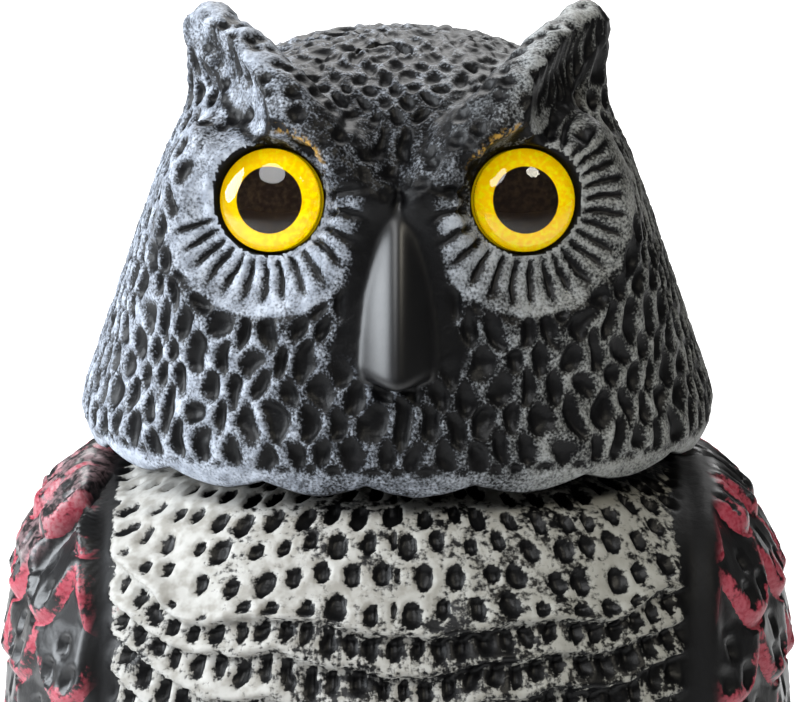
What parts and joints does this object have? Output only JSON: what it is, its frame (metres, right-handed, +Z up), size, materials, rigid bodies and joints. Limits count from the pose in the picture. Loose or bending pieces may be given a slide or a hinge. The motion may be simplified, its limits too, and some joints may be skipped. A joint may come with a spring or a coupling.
{
  "type": "owl decoy",
  "caption": "Upright moulded owl decoy with a scalloped, freely turning head, domed glossy eyes, feathered body and a low oval base.",
  "frame": {"origin": "centre of the base's underside, on the head's turning axis", "axes": "+Z up along the head's turning axis, the owl faces -Y, its left side (the viewer's right) towards +X"},
  "size_m": [0.1978, 0.1736, 0.3978],
  "materials": {
    "body_plastic": "black moulded plastic, cream paint brushed on the breast's ridges and red on the wing feathers' tips",
    "head_plastic": "black moulded plastic with silver-grey paint misted over its ridges, gloss black beak",
    "eye_plastic": "clear glossy dome over a yellow iris and a dark pupil"
  },
  "bodies": {
    "body": {"body": "body_plastic"},
    "head": {"head": "head_plastic", "left_eye": "eye_plastic", "right_eye": "eye_plastic"}
  },
  "joints": [
    {"name": "head_turn", "type": "hinge", "parent": "body", "child": "head", "pos_m": [0, 0, 0.3], "axis": [0, 0, 1], "continuous": true}
  ]
}
